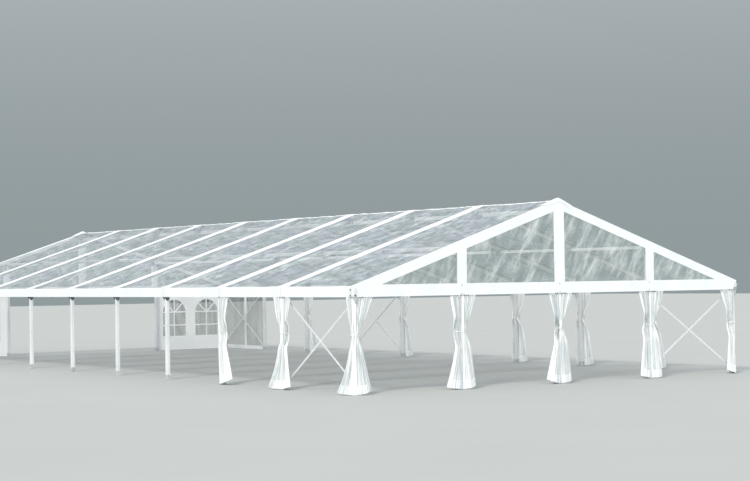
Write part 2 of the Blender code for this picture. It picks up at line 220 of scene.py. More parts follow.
def everything(part):
    """All of a part's points, edges and faces."""
    return part.verts[:] + part.edges[:] + part.faces[:]


def long_edges(part, axis, least):
    """The edges that reach more than a least way along an axis."""
    return [e for e in part.edges if abs(e.verts[0].co[axis] - e.verts[1].co[axis]) > least]


def ease(part, edges, offset, segments=2):
    """Round or chamfer edges."""
    bmesh.ops.bevel(part, geom=edges, offset=offset, offset_type="OFFSET", affect="EDGES", segments=segments,
                    profile=0.5, material=-1)


def turn_to(part, axes, middle):
    """Turn a part's X, Y and Z to three ways and move its middle to a point."""
    turn = Matrix(axes).transposed().to_4x4()
    bmesh.ops.transform(part, matrix=Matrix.Translation(middle) @ turn, verts=part.verts)


def join(part, whole):
    """Add a part's mesh to a whole piece's."""
    mesh = bpy.data.meshes.new("part")
    part.to_mesh(mesh)
    part.free()
    whole.from_mesh(mesh)
    bpy.data.meshes.remove(mesh)


def add_bar(whole, start, end, wide, deep, across, trims=(), channel=CHANNEL):
    """Add a box section bar between two points. Its width runs across, and planes trim its ends."""
    start, end, across = Vector(start), Vector(end), Vector(across).normalized()
    along = (end - start).normalized()
    length = (end - start).length
    part = new_block(wide, deep, length)
    ease(part, long_edges(part, 2, length / 2), CORNER)
    if channel:
        for axis in (Vector((1, 0, 0)), Vector((0, 1, 0))):
            for place in (-channel / 2, channel / 2):
                bmesh.ops.bisect_plane(part, geom=everything(part), plane_co=axis * place, plane_no=axis)
        middles = [f for f in part.faces if abs(f.normal.z) < 0.1 and min(
            abs(f.calc_center_median().x), abs(f.calc_center_median().y)) < channel / 4]
        bmesh.ops.inset_individual(part, faces=middles, thickness=CHANNEL_LIP, depth=-CHANNEL_DEEP,
                                   use_even_offset=True)
    layer = part.loops.layers.uv["along"]
    for face in part.faces:
        turned = abs(face.normal.y) > abs(face.normal.x)
        for loop in face.loops:
            place = loop.vert.co
            loop[layer].uv = (place.z + start.y, place.x if turned else place.y + 0.5)
    turn_to(part, (across, along.cross(across), along), (start + end) / 2)
    for point, outward in trims:
        trimmed = bmesh.ops.bisect_plane(part, geom=everything(part), plane_co=point, plane_no=outward,
                                         clear_outer=True)
        rim = [item for item in trimmed["geom_cut"] if isinstance(item, bmesh.types.BMEdge)]
        bmesh.ops.holes_fill(part, edges=rim, sides=0)
    join(part, whole)


def add_piece(name, whole, *finishes, slot, node=None, sharp=32):
    """Turn a bmesh into an object with its finishes, smooth except at its sharp edges. Then put it on the
    root body, and hide the CAD node that it replaces, if any. The slot is not used."""
    mesh = bpy.data.meshes.new(name)
    whole.to_mesh(mesh)
    whole.free()
    for finish in finishes:
        mesh.materials.append(finish)
    mesh.shade_smooth()
    mesh.set_sharp_from_angle(angle=math.radians(sharp))
    made = bpy.data.objects.new(name, mesh)
    bpy.context.scene.collection.objects.link(made)
    if node:
        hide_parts(node)
    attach(made, "root")
    return made


under_rafter = RAFTER_TOP + RAFTER_DEEP
middle_depth = RAFTER_TOP + RAFTER_DEEP / 2


def add_sloping_bar(whole, side, y, depth, wide, deep, rise=0.0, channel=0):
    """Add a bar down one slope, its middle a depth under the cover and then raised."""
    top = (-side * PAST_RIDGE, y, roof_line(0, depth) + PAST_RIDGE * math.tan(PITCH) + rise)
    foot = (side * PAST_EAVE, y, roof_line(PAST_EAVE, depth) + rise)
    trims = [((0, y, roof_line(0, middle_depth)), (-side, 0, 0)), ((side * RAFTER_END, y, 0), (side, 0, 0))]
    add_bar(whole, top, foot, wide, deep, (0, 1, 0), trims, channel)


for index in range(PORTALS):
    y, way = frame_y(index), end_way(index)
    bars = new_part()
    for side in (-1, 1):
        x = side * HALF_WIDTH
        under = ((x, y, roof_line(x, under_rafter)), (side * math.sin(PITCH), 0, math.cos(PITCH)))
        add_bar(bars, (x, y, BASE_THICK), (x, y, LEG_UNCUT), LEG, LEG, (1, 0, 0), [under])
        add_sloping_bar(bars, side, y, middle_depth, LEG, RAFTER_DEEP, channel=CHANNEL)
        if way:
            add_sloping_bar(bars, side, y + way * VERGE_OUT, middle_depth, VERGE_WIDE, VERGE_DEEP, VERGE_RISE)
        for low, wide, high in RAIL_PROFILE:
            add_sloping_bar(bars, side, rail_y(index), (low + high) / 2, wide, high - low)
    add_piece(f"frame_{index}_extrusions", bars, alloy, slot="frame_aluminium", node=f"frame_{index}")

# Frame fittings. A cast knee and two cheek plates bolt each leg to its rafter, two plates splice the
# rafters at the ridge, and each leg stands in a sleeve welded to a base plate that is staked down.
BOLT, PLATE, PLATE_EDGE = 0.022, 0.006, 0.0015
KNEE, BLOCK_WIDE = 0.15, 0.06
PLATE_DOWN, CHEEK_IN, CHEEK_REACH, CHEEK_DROP = 0.03, 0.008, 1.2 * KNEE, 0.95 * KNEE
SPLICE_HALF, SPLICE_FOOT, SPLICE_BOLT_DOWN, FLAT_HALF = 0.30, 0.22, 0.075, 0.25
SPLICE_BOLTS = (-0.25, -0.15, -0.06, 0.06, 0.15, 0.25)
BASE_HALF, SLEEVE_TOP, SLEEVE_BOLT = 0.10, 0.13, 0.08
STAKE_OUT, STAKE = 0.08, 0.026

# Hot dip galvanised steel: dull grey with a mottled spangle. Real spangles are 5 to 15 mm across and
# are drawn 20 mm across here.
zinc, tree, shader, where = new_finish("hot dip galvanised steel", Metallic=0.45, Roughness=0.42)
spangle = add_node(tree, "TexVoronoi", {"Scale": 50.0}, {"Vector": where.outputs["Object"]})
grime = add_node(tree, "TexNoise", {"Scale": 6.0, "Detail": 6}, {"Vector": where.outputs["Object"]})
shade = add_node(tree, "Math", None, {0: spangle.outputs["Color"], 1: grime.outputs["Fac"]},
                 operation="MULTIPLY")
span = add_node(tree, "MapRange", {"From Min": 0.05, "From Max": 0.45}, {"Value": shade.outputs["Value"]})
mix = add_node(tree, "Mix", {"A": linear("#a8adb0"), "B": linear("#e4e7e8")},
               {"Factor": span.outputs["Result"]}, data_type="RGBA")
rough = add_node(tree, "MapRange", {"To Min": 0.32, "To Max": 0.55}, {"Value": grime.outputs["Fac"]})
feed(shader, {"Base Color": mix.outputs["Result"], "Roughness": rough.outputs["Result"]})


def add_plate(whole, corners, thickness, edge=PLATE_EDGE):
    """Add a flat plate from its corners, thickened by a vector, with eased edges."""
    part = new_part()
    face = part.faces.new([part.verts.new(corner) for corner in corners])
    grown = bmesh.ops.extrude_face_region(part, geom=[face])
    lifted = [item for item in grown["geom"] if isinstance(item, bmesh.types.BMVert)]
    bmesh.ops.translate(part, vec=thickness, verts=lifted)
    bmesh.ops.recalc_face_normals(part, faces=part.faces)
    ease(part, part.edges[:], edge, segments=1)
    join(part, whole)


def add_bolt(whole, place, outward, size=BOLT):
    """Add a hexagon bolt head on a round washer, standing on a surface."""
    turn = Matrix.Translation(place) @ Vector(outward).to_track_quat("Z", "Y").to_matrix().to_4x4()
    part = new_part()
    for sides, radius, low, high in ((14, 0.85, 0.0, 0.12), (6, 0.56, 0.12, 0.62)):
        bmesh.ops.create_cone(part, cap_ends=True, segments=sides, radius1=size * radius,
                              radius2=size * radius * 0.97, depth=size * (high - low),
                              matrix=turn @ Matrix.Translation((0, 0, size * (low + high) / 2)))
    join(part, whole)


def add_pair(whole, y, outline, bolts, thick=PLATE, edge=PLATE_EDGE, size=BOLT):
    """Add a bolted plate on both of a portal's faces. The outline and the bolts' places are x and z."""
    for face in (-1, 1):
        plane = y + face * LEG / 2
        add_plate(whole, [(px, plane, pz) for px, pz in outline], (0, face * thick, 0), edge)
        for bx, bz in bolts:
            add_bolt(whole, (bx, plane + face * thick, bz), (0, face, 0), size)


def add_foot(whole, x, y):
    """Add an upright's base plate, its sleeve on that, and their bolts and stakes."""
    around = ((-1, -1), (1, -1), (1, 1), (-1, 1))
    wall = LEG / 2 + PLATE
    add_plate(whole, [(x + sx * BASE_HALF, y + sy * BASE_HALF, 0.0) for sx, sy in around],
              (0, 0, BASE_THICK), 0.002)
    add_plate(whole, [(x + sx * wall, y + sy * wall, BASE_THICK) for sx, sy in around],
              (0, 0, SLEEVE_TOP - BASE_THICK), 0.003)
    for sx in (-1, 1):
        add_bolt(whole, (x + sx * wall, y, SLEEVE_BOLT), (sx, 0, 0))
        for sy in (-1, 1):
            add_bolt(whole, (x + sx * STAKE_OUT, y + sy * STAKE_OUT, BASE_THICK), (0, 0, 1), STAKE)


flat = roof_line(FLAT_HALF, under_rafter)
for index in range(PORTALS):
    y = frame_y(index)
    steel = new_part()
    block_y, block = y - BLOCK_WIDE / 2, (0, BLOCK_WIDE, 0)
    for side in (-1, 1):
        x = side * HALF_WIDTH
        inner, outer = x - side * LEG / 2, x + side * LEG / 2
        low, knee_end = roof_line(inner, under_rafter), inner - side * KNEE
        knee = [(inner, block_y, low), (knee_end, block_y, roof_line(knee_end, under_rafter)),
                (inner, block_y, low - KNEE)]
        add_plate(steel, knee, block, 0.004)
        reach, edge_x = inner - side * CHEEK_REACH, outer - side * CHEEK_IN
        cheek = [(edge_x, roof_line(outer, PLATE_DOWN)), (reach, roof_line(reach, PLATE_DOWN)),
                 (reach, roof_line(reach, under_rafter)), (inner, low - CHEEK_DROP),
                 (edge_x, low - CHEEK_DROP)]
        bolts = [(x - side * 0.025, low - 0.10), (x + side * 0.02, low - 0.10), (x, low - 0.03),
                 (x, low + 0.06), (inner - side * 0.07, low + 0.075), (inner - side * 0.14, low + 0.095)]
        add_pair(steel, y, cheek, bolts)
        add_foot(steel, x, y)
    high, low = roof_line(SPLICE_HALF, PLATE_DOWN), roof_line(SPLICE_HALF, under_rafter)
    splice = [(-SPLICE_HALF, high), (0.0, roof_line(0, PLATE_DOWN)), (SPLICE_HALF, high), (SPLICE_HALF, low),
              (SPLICE_FOOT, flat), (-SPLICE_FOOT, flat), (-SPLICE_HALF, low)]
    add_pair(steel, y, splice, [(bx, roof_line(bx, SPLICE_BOLT_DOWN)) for bx in SPLICE_BOLTS])
    ridge_block = [(-FLAT_HALF, block_y, flat), (FLAT_HALF, block_y, flat),
                   (0, block_y, roof_line(0, under_rafter) + 0.002)]
    add_plate(steel, ridge_block, block, 0.003)
    add_piece(f"frame_{index}_fittings", steel, zinc, slot="galvanised_steel")

# Gable posts. Box section uprights under the end rafters, cut to the slope and bolted by a plate on the
# inner face. The back gable's king post stops at the header, over the wide way in.
BEAM_FOOT, SEAT_GAP, POST_UNCUT = 2.257, 0.0003, 5
HEAD_PLATE = ((-0.045, -0.14), (0.045, -0.14), (0.045, 0.05), (-0.045, 0.05))
HEAD_BOLTS = (-0.11, -0.05, 0.025)
POSTS = [(f"front_gable_post_{i}", (i - 2) * SECTION, -HALF_LENGTH, BASE_THICK) for i in (1, 2, 3)]
POSTS += [("back_gable_post_1", -SECTION, HALF_LENGTH, BASE_THICK),
          ("back_gable_post_3", SECTION, HALF_LENGTH, BASE_THICK),
          ("back_king_post", 0.0, HALF_LENGTH, BEAM_FOOT)]
for name, x, y, foot in POSTS:
    post = new_part()
    if x:
        lean = (math.copysign(math.sin(PITCH), x), 0, math.cos(PITCH))
        top = ((x, y, roof_line(x, under_rafter + SEAT_GAP)), lean)
    else:
        top = ((x, y, roof_line(FLAT_HALF, under_rafter + SEAT_GAP)), (0, 0, 1))
    add_bar(post, (x, y, foot), (x, y, POST_UNCUT), LEG, LEG, (1, 0, 0), [top])
    add_piece(name + "_extrusion", post, alloy, slot="frame_aluminium", node=name)
    steel = new_part()
    if foot == BASE_THICK:
        add_foot(steel, x, y)
    crown = roof_line(max(abs(x), FLAT_HALF), under_rafter)
    inward = -1 if y > 0 else 1
    add_plate(steel, [(x + dx, y + inward * LEG / 2, crown + dz) for dx, dz in HEAD_PLATE],
              (0, inward * PLATE, 0))
    for bz in HEAD_BOLTS:
        add_bolt(steel, (x, y + inward * (LEG / 2 + PLATE), crown + bz), (0, inward, 0))
    add_piece(name + "_fittings", steel, zinc, slot="galvanised_steel")

# Eave beams, gable headers and purlins. Box section bars of the same aluminium: one along each eave
# outside the legs, one across each gable, and three purlins clamped under the rafters.
PURLIN_WIDE, RIDGE_PURLIN_DEEP, PURLIN_DEEP = 0.06, 0.10, 0.08
CLAMP_WIDE, CLAMP_LONG, CLAMP_OVER, CLAMP_APART, CLAMP_BOLT = 0.074, 0.06, 0.010, 0.085, 0.018
for name in ("near_eave_beam", "far_eave_beam", "front_gable_header", "back_gable_header"):
    low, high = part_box(name)
    start, end, wide = (low + high) / 2, (low + high) / 2, high - low
    run = 1 if "eave" in name else 0
    start[run], end[run] = low[run], high[run]
    beam = new_part()
    add_bar(beam, start, end, wide.z, wide[1 - run], (0, 0, 1))
    add_piece(name + "_extrusion", beam, alloy, slot="frame_aluminium", node=name)
purlin_end = HALF_LENGTH - LEG / 2 - SEAT_GAP
for name, x, deep in (("ridge_purlin", 0.0, RIDGE_PURLIN_DEEP), ("near_purlin", -SECTION, PURLIN_DEEP),
                      ("far_purlin", SECTION, PURLIN_DEEP)):
    if x:
        height = roof_line(x, under_rafter + SEAT_GAP + deep / 2)
        lean = Vector((math.cos(PITCH), 0, -math.copysign(math.sin(PITCH), x)))
    else:
        height = flat - SEAT_GAP - deep / 2
        lean = Vector((1, 0, 0))
    purlin = new_part()
    add_bar(purlin, (x, -purlin_end, height), (x, purlin_end, height), PURLIN_WIDE, deep, lean)
    add_piece(name + "_extrusion", purlin, alloy, slot="frame_aluminium", node=name)
    clamps = new_part()
    along = Vector((0, 1, 0))
    for index in range(1, PORTALS - 1):
        for way in (-1, 1):
            spot = Vector((x, frame_y(index) + way * CLAMP_APART, height))
            clamp = new_block(CLAMP_WIDE, CLAMP_LONG, deep + CLAMP_OVER)
            ease(clamp, clamp.edges[:], 0.003)
            turn_to(clamp, (lean, along, lean.cross(along)), spot)
            join(clamp, clamps)
            add_bolt(clamps, spot + lean * CLAMP_WIDE / 2, lean, CLAMP_BOLT)
    add_piece(name + "_clamps", clamps, zinc, slot="galvanised_steel")

# Corner castings. A rounded aluminium casting joins beam, header and leg at each corner and shows between
# the ends of the two valances. It is held by dark bolts, and a welded lug for a guy hangs below it.
CAST_WIDE, CAST_HIGH, CAST_PROUD, CAST_ROUND = 0.15, 0.20, 0.006, 0.03
COVER_END = 13.8226
STUB_RADIUS, STUB_LONG = 0.028, 0.075
LUG_THICK, LUG_IN, LUG_GAP = 0.012, 0.045, 0.001

# Heights from the valance's foot, for the casting's middle, its bolts, the stub and the lug's bolt
CAST_UP, CAST_BOLTS_UP, STUB_UP, LUG_BOLT_DOWN = 0.115, (0.035, 0.17), 0.12, 0.12
CAST_BOLT, CAST_BOLT_IN, END_BOLT = 0.024, 0.085, 0.030
LUG_OUTLINE = ((0.0, -0.02), (0.08, -0.02), (0.08, 0.10), (0.06, 0.16), (0.03, 0.16), (0.0, 0.08))

# Bolts of dark, dull steel that read as small dark spots from afar
dark_steel = new_clouded_finish("dark bolt steel", 60.0, 4, "#50565a", "#8a9093", Metallic=0.7,
                                Roughness=0.5)[0]

for name, side, end in (("near_front", -1, -1), ("far_front", 1, -1), ("far_back", 1, 1),
                        ("near_back", -1, 1)):
    face_x, face_y = side * (COVER_HALF + CAST_PROUD), end * (COVER_END + CAST_PROUD)
    casting = new_block(CAST_WIDE, CAST_WIDE, CAST_HIGH)
    ease(casting, long_edges(casting, 2, CAST_HIGH / 2), CAST_ROUND, segments=4)
    upright = long_edges(casting, 2, CAST_HIGH / 2)
    ease(casting, [e for e in casting.edges if e not in upright], 0.006)
    bmesh.ops.translate(casting, verts=casting.verts, vec=(
        face_x - side * CAST_WIDE / 2, face_y - end * CAST_WIDE / 2, VALANCE_FOOT + CAST_UP))
    if side > 0:
        stub_middle = (face_x + STUB_LONG / 2, face_y - end * CAST_WIDE / 2, VALANCE_FOOT + STUB_UP)
        bmesh.ops.create_cone(casting, cap_ends=True, segments=20, radius1=STUB_RADIUS,
                              radius2=STUB_RADIUS * 0.94, depth=STUB_LONG,
                              matrix=Matrix.Translation(stub_middle) @ Matrix.Rotation(math.pi / 2, 4, "Y"))
    add_piece(name + "_corner_casting", casting, alloy, slot="frame_aluminium")
    bolts = new_part()
    for height in CAST_BOLTS_UP:
        add_bolt(bolts, (face_x, face_y - end * CAST_BOLT_IN, VALANCE_FOOT + height), (side, 0, 0), CAST_BOLT)
    add_bolt(bolts, (face_x - side * CAST_WIDE / 2, face_y, VALANCE_FOOT + CAST_BOLTS_UP[0]), (0, end, 0),
             END_BOLT)
    add_piece(name + "_corner_bolts", bolts, dark_steel, slot="galvanised_steel")
    lug = new_part()
    lug_x, lug_y = face_x - side * LUG_IN, face_y + end * LUG_GAP
    add_plate(lug, [(lug_x - side * reach, lug_y, VALANCE_FOOT - drop) for reach, drop in LUG_OUTLINE],
              (0, end * LUG_THICK, 0))
    add_bolt(lug, (lug_x - side * LUG_IN, lug_y + end * LUG_THICK, VALANCE_FOOT - LUG_BOLT_DOWN), (0, end, 0),
             CAST_BOLT)
    add_piece(name + "_corner_lug", lug, zinc, slot="galvanised_steel")

# Eave brackets. A dark steel plate on each side of a leg bolts the eave beam to it, and shows below the
# valance on the legs without a curtain.
BEAM_TOP, BRACKET_LOW = 2.357, 2.15
BRACKET_THICK, BRACKET_EDGE, BRACKET_BOLT = 0.012, 0.002, 0.018
BRACKET_OUTLINE = ((0.105, BEAM_TOP - 0.02), (-0.045, BEAM_TOP - 0.02), (-0.045, BRACKET_LOW + 0.05),
                   (-0.01, BRACKET_LOW), (0.045, BRACKET_LOW), (0.105, BEAM_FOOT - 0.005))
BRACKET_BOLTS = ((0.0, BRACKET_LOW + 0.035), (0.03, BRACKET_LOW + 0.075))
brackets = new_part()
for side, index in [(-1, k) for k in range(3, 9)] + [(1, 8)]:
    outline, bolts = ([(side * HALF_WIDTH + side * reach, height) for reach, height in places]
                      for places in (BRACKET_OUTLINE, BRACKET_BOLTS))
    add_pair(brackets, frame_y(index), outline, bolts, BRACKET_THICK, BRACKET_EDGE, BRACKET_BOLT)
add_piece("eave_brackets", brackets, dark_steel, slot="galvanised_steel")

# Cross braces. Two flat bars of galvanised steel cross in a bay, one in front of the other, with a bolt
# through their crossing and a bolt at each end that holds them to the legs.
BRACE_WIDE, BRACE_THICK = 0.045, 0.006
BRACE_ROUND, BRACE_BOLT_IN, CROSSING_BOLT = 0.42 * BRACE_WIDE, 0.03, 0.026
BRACE_LOW, BRACE_HIGH = 0.20, 2.21
BRACE_RUN, BRACE_RISE = SECTION - 0.06, BRACE_HIGH - BRACE_LOW

# Bright zinc plated bar: smooth, nearly white in the sun, with faint cloudy patches 0.1 m across
bright_zinc = new_clouded_finish("bright zinc plated bar", 9.0, 5, "#d3d8da", "#fafbfb", Metallic=0.25,
                                 Roughness=0.34)[0]
for name in ("front_cross_brace", "near_cross_brace", "far_middle_cross_brace", "far_back_cross_brace"):
    low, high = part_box(name)
    middle = (low + high) / 2
    if name.startswith("front"):
        run, outward = Vector((1, 0, 0)), Vector((0, -1, 0))
    else:
        run, outward = Vector((0, 1, 0)), Vector((math.copysign(1, middle.x), 0, 0))
    brace = new_part()
    for layer, rising in ((0.5, 1), (-0.5, -1)):
        plane = middle + outward * BRACE_THICK * layer
        start, end = (plane + run * (BRACE_RUN / 2) * way + Vector((0, 0, way * rising * BRACE_RISE / 2))
                      for way in (-1, 1))
        along = (end - start).normalized()
        bar = new_block(BRACE_WIDE, BRACE_THICK, (end - start).length)
        ease(bar, long_edges(bar, 1, BRACE_THICK / 2), BRACE_ROUND, segments=4)
        turn_to(bar, (outward.cross(along), outward, along), (start + end) / 2)
        join(bar, brace)
        for place, inward in ((start, along), (end, -along)):
            add_bolt(brace, place + inward * BRACE_BOLT_IN - outward * BRACE_THICK / 2, -outward)
    add_bolt(brace, middle - outward * BRACE_THICK, -outward, CROSSING_BOLT)
    add_piece(name + "_bars", brace, bright_zinc, slot="galvanised_steel", node=name)

# Roof panels. One sheet over each bay, from valance foot to valance foot: calendered clear vinyl with
# white coated borders welded along the rails, the eaves and the ridge, held tight by keder cords in the
# rails. The film sags a little between the rafters and keeps long creases from its folding.
BORDER, END_BORDER, RIDGE_BORDER, EAVE_BORDER = 0.21, 0.12, 0.065, 0.05
SAG, RIDGE_SAG_SHARE, EAVE_SAG_SHARE = 0.045, 0.3, 0.25
SLOPE = COVER_HALF / math.cos(PITCH)
DROP = EAVE - VALANCE_FOOT
PANEL_LENGTH = 2 * (SLOPE + DROP)
RAIL_GAP = 0.0063

# How far from a held edge the film gets its full play: from rails and bands, from the eave, from the ridge
EDGE_PLAY, EAVE_PLAY, RIDGE_PLAY = 0.3, 0.6, 0.9


def new_white_cloth(name, dark, pale):
    """A white coated cloth that drifts between two tones, with a faint weave."""
    made, tree, shader, where = new_clouded_finish(name, 2.2, 4, dark, pale, by="UV", Roughness=0.38,
                                                   Coat_Weight=0.15, Coat_Roughness=0.3)
    weave = add_node(tree, "TexChecker", {"Scale": 125.0}, {"Vector": where.outputs["UV"]})
    bump = add_node(tree, "Bump", {"Strength": 0.05, "Distance": 0.001}, {"Height": weave.outputs["Fac"]})
    feed(shader, {"Normal": bump.outputs["Normal"]})
    return made


# Coated polyester, gloss white: bright and even, with a fine scrim showing as a faint weave. The scrim's
# threads are 1 mm apart on the real cloth and are drawn 8 mm apart here.
white = new_white_cloth("white coated polyester", "#dfe3e5", "#f3f5f6")

# Calendered clear vinyl, 0.5 mm, with a glossy skin. Its smoky tint, which drifts from green to blue over a
# metre or two, is painted reflection of the sky and the surroundings. The pale streaks along the roll, which
# run from eave to eave, and the patches 0.3 to 1 m across are partly the film's own haze and partly painted
# sheen.
clear, tree, shader, where = new_finish("calendered clear vinyl", Roughness=0.12, IOR=1.53)
stretch = add_node(tree, "Mapping", {"Scale": (24.0, 3.6, 1.0)}, {"Vector": where.outputs["UV"]})
streak = add_node(tree, "TexNoise", {"Scale": 1.0, "Detail": 8, "Roughness": 0.74, "Distortion": 0.4},
                  {"Vector": stretch.outputs["Vector"]})
haze = add_node(tree, "TexNoise", {"Scale": 2.4, "Detail": 6}, {"Vector": where.outputs["UV"]})
both = add_node(tree, "Math", {1: 0.32}, {0: haze.outputs["Fac"], 2: streak.outputs["Fac"]},
                operation="MULTIPLY_ADD")
span = add_node(tree, "MapRange", {"From Min": 0.565, "From Max": 0.775}, {"Value": both.outputs["Value"]})
drift = add_node(tree, "TexNoise", {"Scale": 0.8, "Detail": 2}, {"Vector": where.outputs["UV"]})
drift_span = add_node(tree, "MapRange", {"From Min": 0.38, "From Max": 0.62}, {"Value": drift.outputs["Fac"]})
# Painted reflection: this tint stands for the sky and the surroundings that the film reflects
painted_tint = add_node(tree, "Mix", {"A": linear("#5f897f"), "B": linear("#6c7aa2")},
                {"Factor": drift_span.outputs["Result"]}, data_type="RGBA")
# The pale tone is partly the film's haze and partly painted sheen
mix = add_node(tree, "Mix", {"B": linear("#f0f6fb")},
               {"Factor": span.outputs["Result"], "A": painted_tint.outputs["Result"]}, data_type="RGBA")
veil = add_node(tree, "MapRange", {"To Min": 0.20, "To Max": 0.60}, {"Value": span.outputs["Result"]})
feed(shader, {"Base Color": mix.outputs["Result"], "Alpha": veil.outputs["Result"]})


def new_sheet(width, length, columns, rows):
    """A flat grid of cloth from the origin, its width along X and its length along Y."""
    made = new_part()
    middle = Matrix.Translation((width / 2, length / 2, 0)) @ Matrix.Diagonal((width, length, 1, 1))
    bmesh.ops.create_grid(made, x_segments=columns, y_segments=rows, size=0.5, matrix=middle)
    return made


def cut(sheet, point, across, within=None):
    """Cut a line through a flat sheet's faces, or those whose middles pass a test."""
    faces = [f for f in sheet.faces if within is None or within(f.calc_center_median())]
    geom = {item for f in faces for item in (f, *f.edges, *f.verts)}
    bmesh.ops.bisect_plane(sheet, geom=list(geom), dist=1e-5, plane_co=(*point, 0), plane_no=(*across, 0))


def weld_on(sheet, test):
    """Give the faces whose middles pass a test the second of the sheet's finishes."""
    for face in sheet.faces:
        if test(face.calc_center_median()):
            face.material_index = 1


def hang(sheet, place, shift):
    """Write the flat cut into the UV map in metres, then move each point to where it hangs. The shift gives
    each sheet its own stretch of the finish."""
    layer = sheet.loops.layers.uv["along"]
    for face in sheet.faces:
        for loop in face.loops:
            loop[layer].uv = (loop.vert.co.x + shift, loop.vert.co.y)
    for vert in sheet.verts:
        vert.co = place(vert.co.x, vert.co.y)


for bay in range(1, PORTALS):
    start, end = rail_y(bay - 1) + RAIL_GAP, rail_y(bay) - RAIL_GAP
    width = end - start
    panel = new_sheet(width, PANEL_LENGTH, 40, 110)
    first, last = (END_BORDER if at_end else BORDER for at_end in (bay == 1, bay == PORTALS - 1))
    for x in (first, width - last):
        cut(panel, (x, 0), (1, 0))
    for reach in (RIDGE_BORDER, SLOPE - EAVE_BORDER, SLOPE):
        for side in (-1, 1):
            cut(panel, (0, PANEL_LENGTH / 2 + side * reach), (0, 1))
    weld_on(panel, lambda p: p.x < first or width - p.x < last or abs(p.y - PANEL_LENGTH / 2) < RIDGE_BORDER
            or abs(p.y - PANEL_LENGTH / 2) > SLOPE - EAVE_BORDER)

    def over_roof(x, y):
        """Where a point of the flat panel lies over the bay."""
        share = x / width
        from_ridge = y - PANEL_LENGTH / 2
        side = -1 if from_ridge > 0 else 1
        down = abs(from_ridge)
        edge = min(1.0, min(x, width - x) / EDGE_PLAY)
        crease = (0.012 * noise.noise((x * 2.6, down * 0.30, bay * 7.3))
                  + 0.007 * noise.noise((x * 8.0, down * 0.5, bay * 3.1)))
        if down <= SLOPE:
            by_eave = min(1.0, (SLOPE - down) / EAVE_PLAY)
            eave_share = EAVE_SAG_SHARE + (1 - EAVE_SAG_SHARE) * by_eave
            ridge_share = RIDGE_SAG_SHARE + (1 - RIDGE_SAG_SHARE) * min(1.0, down / RIDGE_PLAY)
            dip = SAG * 4 * share * (1 - share) * eave_share * ridge_share - crease * edge * by_eave
            out = down * math.cos(PITCH) - dip * math.sin(PITCH) * min(1.0, down / EDGE_PLAY)
            height = roof_line(0) - down * math.sin(PITCH) - dip * math.cos(PITCH)
            return Vector((side * out, start + x, height))
        low = (down - SLOPE) / DROP
        wave = 0.004 * math.sin(x * 9.0 + bay) * low * edge
        height = EAVE - SAG * share * (1 - share) * (1 - low) - low * DROP
        return Vector((side * (COVER_HALF - 0.001 + wave), start + x, height))

    hang(panel, over_roof, shift=bay * 11.0)
    node = f"roof_panel_{bay}"
    piece = add_piece(node + "_sheet", panel, clear, white, slot="clear_vinyl", node=node)

# Gable skins. A triangle of clear vinyl over the end frame, with white coated bands welded along its
# slopes and foot and over the posts, laced to the header under the foot band.
GABLE_WIDE, GABLE_HIGH = 2 * COVER_HALF, COVER_HALF * math.tan(PITCH) + EAVE - VALANCE_FOOT
SLOPE_BAND, FOOT_BAND, MIDDLE_BAND, QUARTER_BAND = 0.22, 0.28, 0.335, 0.285
SKIN_OUT = 0.1062


def new_film(name, roughness, wrap, turn, stretch, streaks, spread, tones, opacity, even=False):
    """A clear film with streaks of noise, which stand for haze and, on some films, painted highlights,
    reflection and light. The noise's spread runs between two tones and two opacities, and an even film's
    opacity follows all of the noise."""
    made, tree, shader, where = new_finish(name, Roughness=roughness, IOR=1.53)
    mapping = add_node(tree, "Mapping", {"Rotation": (0, 0, turn), "Scale": (*stretch, 1.0)},
                       {"Vector": where.outputs["UV"]}, vector_type=wrap)
    streak = add_node(tree, "TexNoise", {"Scale": 1.0, **streaks}, {"Vector": mapping.outputs["Vector"]})
    span = add_node(tree, "MapRange", {"From Min": spread[0], "From Max": spread[1]},
                    {"Value": streak.outputs["Fac"]})
    mix = add_node(tree, "Mix", {"A": linear(tones[0]), "B": linear(tones[1])},
                   {"Factor": span.outputs["Result"]}, data_type="RGBA")
    veil = add_node(tree, "MapRange", {"To Min": opacity[0], "To Max": opacity[1]},
                    {"Value": streak.outputs["Fac"] if even else span.outputs["Result"]})
    feed(shader, {"Base Color": mix.outputs["Result"], "Alpha": veil.outputs["Result"]})
    return made


# The gable's film is thinner and newer than the roof's: clearer, with creases that run steeply down it
# where it was folded, about 0.25 m apart. The creases are painted pale as highlights where they catch the
# light, and the greenish grey between them is partly the film's haze and partly painted reflection.
thin_clear = new_film("thin clear vinyl", 0.10, "TEXTURE", 1.05, (0.85, 0.26),
                      {"Detail": 8, "Roughness": 0.66, "Distortion": 0.25}, (0.42, 0.72),
                      ("#a6b8b1", "#fafcfc"), (0.18, 0.62))

